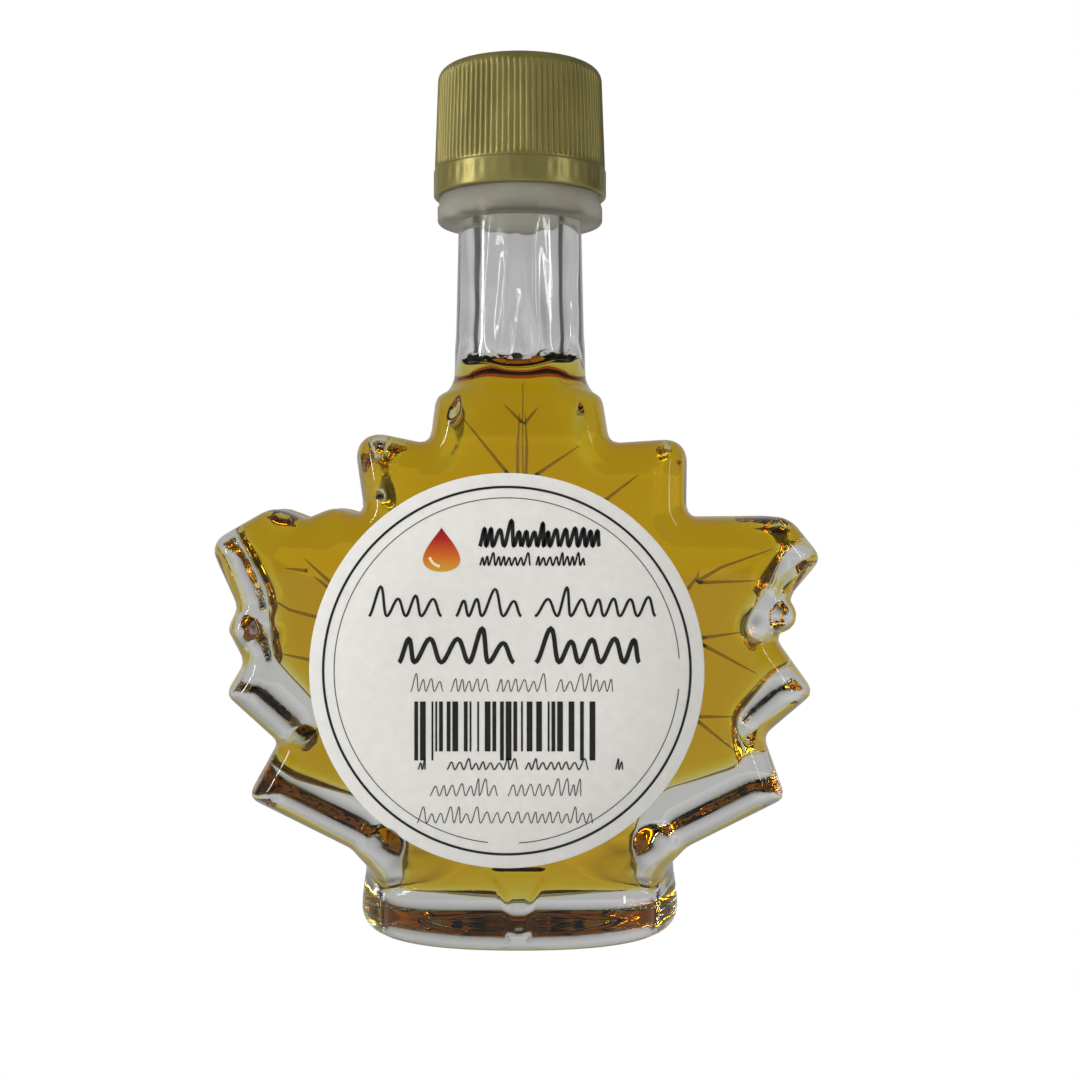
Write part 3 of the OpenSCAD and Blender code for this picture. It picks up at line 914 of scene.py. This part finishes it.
# %% Made-up stripes
STRIPES_LEFT, STRIPES_RIGHT, STRIPES_TOP = -10.2, 9.9, -3.4
STRIPE_UNIT = 0.21
draw = np.random.default_rng(12)
stripes, at = [], STRIPES_LEFT
while at < STRIPES_RIGHT - 0.3:
    width = STRIPE_UNIT * draw.integers(1, 4)
    share = (at - STRIPES_LEFT) / (STRIPES_RIGHT - STRIPES_LEFT)
    long = share < 0.1 or share > 0.9 or abs(share - 0.5) < 0.03
    stripes.append(bar(at, at + width, -9.9 if long else -8.9, STRIPES_TOP))
    at += width + STRIPE_UNIT * draw.integers(1, 4)
strips_piece("stripes", stripes, black_ink)

# %% A drop of syrup
DROP_X, DROP_Z, DROP_R = -7.2, 13.2, 2.3
DROP_TALL = 4.9


def drop_outline(radius, tall, count=56):
    """A drop: a circle whose upper half is drawn out to a point, its width falling as the sine of half the
    angle to the power 1.4."""
    t = np.linspace(0, 2 * np.pi, count, endpoint=False)
    x = radius * np.sin(t) * np.abs(np.sin(t / 2)) ** 1.4 * 1.25
    z = np.where(np.cos(t) > 0, tall - radius, radius) * np.cos(t)
    return np.stack([x, z], 1)


def filled(outline, middle):
    """An outline filled by a fan from its middle point."""
    n = len(outline)
    i = np.arange(n)
    return np.vstack([outline, middle]), np.stack([np.full(n, n), (i + 1) % n, i], 1)


drop_ink, nodes, links, shader = new_material("drop_ink")
height = nodes.new("ShaderNodeSeparateXYZ")
links.new(nodes.new("ShaderNodeTexCoord").outputs["Object"], height.inputs[0])
share = nodes.new("ShaderNodeMapRange")
set_values(share, From_Min=(label_z + DROP_Z - 2.4) * MM, From_Max=(label_z + DROP_Z + 2.9) * MM)
links.new(height.outputs["Z"], share.inputs["Value"])
links.new(ramp_of(nodes, links, share.outputs["Result"], (0.0, (0.62, 0.36, 0.03)), (0.35, (0.62, 0.13, 0.012)),
                  (0.7, (0.4, 0.012, 0.008)), (1.0, (0.2, 0.006, 0.006))), shader.inputs["Base Color"])
set_values(shader, Roughness=0.4)
drop_points, drop_faces = filled(drop_outline(DROP_R, DROP_TALL) + (DROP_X, DROP_Z), (DROP_X, DROP_Z - 0.3))
flat_piece("drop_print", drop_points, drop_faces, drop_ink)
shine = ring_path(1.35, 195, 262, 14) + (DROP_X, DROP_Z - 0.35)
shine_ink = ink("pale_ink", (0.85, 0.7, 0.45), (0.9, 0.78, 0.55))
INK_Y -= 0.025
strips_piece("drop_shine", [(shine, 0.3)], shine_ink)

# %% [markdown]
# ## Stage, light and camera
#
# A clear bottle shows what is round it, so the studio is part of the look: a pale backdrop behind and darker
# sides that draw the dark lines along the glass's edges. The floor is one plain pale tone all over. Backdrop
# and floor look plain white to the camera, and are a soft grey where the glass bends or mirrors them.

# %% Surroundings, as stops of [share of the half turn from straight behind, grey]
AROUND = [
    (0.0, 0.5), (0.17, 0.52), (0.25, 0.42), (0.28, 0.06), (0.37, 0.04),
    (0.42, 0.35), (0.6, 0.36), (0.76, 0.14), (1.0, 0.2),
]
CEILING = (0.16, 0.155, 0.14, 1)
world = bpy.data.worlds.new("studio")
bpy.context.scene.world = world
world.use_nodes = True
nodes, links = world.node_tree.nodes, world.node_tree.links
nodes.clear()


def math_of(nodes, links, what, a, b=None):
    """A Math node fed with numbers or sockets. Returns its result."""
    node = nodes.new("ShaderNodeMath")
    node.operation = what
    for socket, value in zip(node.inputs, (a, b)):
        if isinstance(value, (int, float)):
            socket.default_value = value
        elif value is not None:
            links.new(value, socket)
    return node.outputs[0]


toward = nodes.new("ShaderNodeSeparateXYZ")
links.new(nodes.new("ShaderNodeTexCoord").outputs["Generated"], toward.inputs[0])
turned_by = math_of(nodes, links, "ARCTAN2", toward.outputs["X"], toward.outputs["Y"])
share = math_of(nodes, links, "MULTIPLY", math_of(nodes, links, "ABSOLUTE", turned_by), 1 / np.pi)
side_grey = ramp_of(nodes, links, share, *[(position, (grey, grey, grey)) for position, grey in AROUND])
left_light = nodes.new("ShaderNodeMapRange")
set_values(left_light, From_Min=-0.6, From_Max=0.6, To_Min=1.15, To_Max=0.9)
links.new(toward.outputs["X"], left_light.inputs["Value"])
ceiling = nodes.new("ShaderNodeMapRange")
set_values(ceiling, From_Min=0.02, From_Max=0.6)
links.new(toward.outputs["Z"], ceiling.inputs["Value"])
whole = nodes.new("ShaderNodeMixRGB")
whole.inputs["Color2"].default_value = CEILING
links.new(ceiling.outputs["Result"], whole.inputs["Fac"])
links.new(side_grey, whole.inputs["Color1"])
around = nodes.new("ShaderNodeBackground")
links.new(whole.outputs["Color"], around.inputs["Color"])
links.new(left_light.outputs["Result"], around.inputs["Strength"])
seen = nodes.new("ShaderNodeBackground")
seen.inputs["Color"].default_value = (1, 1, 1, 1)
mix = nodes.new("ShaderNodeMixShader")
links.new(nodes.new("ShaderNodeLightPath").outputs["Is Camera Ray"], mix.inputs[0])
links.new(around.outputs[0], mix.inputs[1])
links.new(seen.outputs[0], mix.inputs[2])
links.new(mix.outputs[0], nodes.new("ShaderNodeOutputWorld").inputs["Surface"])

# %% Camera, placed in millimetres
EYE_X, EYE_FAR, EYE_Z = 2.36, 197.0, 46.0
LENS, SENSOR = 55.67, 36
camera_data = bpy.data.cameras.new("camera")
camera_data.lens = LENS
camera_data.sensor_width = SENSOR
camera_data.clip_start = 0.01
camera = bpy.data.objects.new("camera", camera_data)
camera.location = (EYE_X * MM, -EYE_FAR * MM, EYE_Z * MM)
camera.rotation_euler = (np.pi / 2, 0, 0)
bpy.context.scene.collection.objects.link(camera)
bpy.context.scene.camera = camera
bpy.context.scene.view_settings.view_transform = "Standard"

# %% Floor and lights: the floor's tone where glass bends or mirrors it, and to the camera
FLOOR_IN_GLASS, FLOOR_SEEN = (0.45, 0.45, 0.44, 1), (1, 1, 1, 1)
floor_mesh = bpy.data.meshes.new("floor")
floor_mesh.from_pydata([(-2, -2, 0), (2, -2, 0), (2, 2, 0), (-2, 2, 0)], [], [(0, 1, 2, 3)])
floor = bpy.data.objects.new("floor", floor_mesh)
bpy.context.scene.collection.objects.link(floor)
floor_finish, nodes, links, shader = new_material("pale_floor")
nodes.remove(shader)
table = nodes.new("ShaderNodeEmission")
table.inputs["Color"].default_value = FLOOR_IN_GLASS
sheet = nodes.new("ShaderNodeEmission")
sheet.inputs["Color"].default_value = FLOOR_SEEN
both = nodes.new("ShaderNodeMixShader")
links.new(nodes.new("ShaderNodeLightPath").outputs["Is Camera Ray"], both.inputs[0])
links.new(table.outputs[0], both.inputs[1])
links.new(sheet.outputs[0], both.inputs[2])
links.new(both.outputs[0], nodes["Material Output"].inputs["Surface"])
floor_mesh.materials.append(floor_finish)


def soft_light(name, place, size, power, mirrored=True):
    """A rectangular area light that faces the bottle. One that isn't mirrored lights paper and plastic, and
    makes no patch on the glass."""
    data = bpy.data.lights.new(name, "AREA")
    data.shape = "RECTANGLE"
    data.size, data.size_y = size
    data.energy = power
    lamp = bpy.data.objects.new(name, data)
    lamp.visible_glossy = mirrored
    lamp.visible_transmission = mirrored
    lamp.location = place
    lamp.rotation_euler = (Vector((0, 0, 0.05)) - Vector(place)).to_track_quat("-Z", "Y").to_euler()
    bpy.context.scene.collection.objects.link(lamp)


soft_light("window_left", (-0.57, -0.2, 0.2), (0.05, 0.5), 1.2)
soft_light("window_right", (0.5, -0.33, 0.16), (0.025, 0.4), 0.35)
soft_light("key", (-0.35, -0.6, 0.4), (0.5, 0.4), 4.2, mirrored=False)
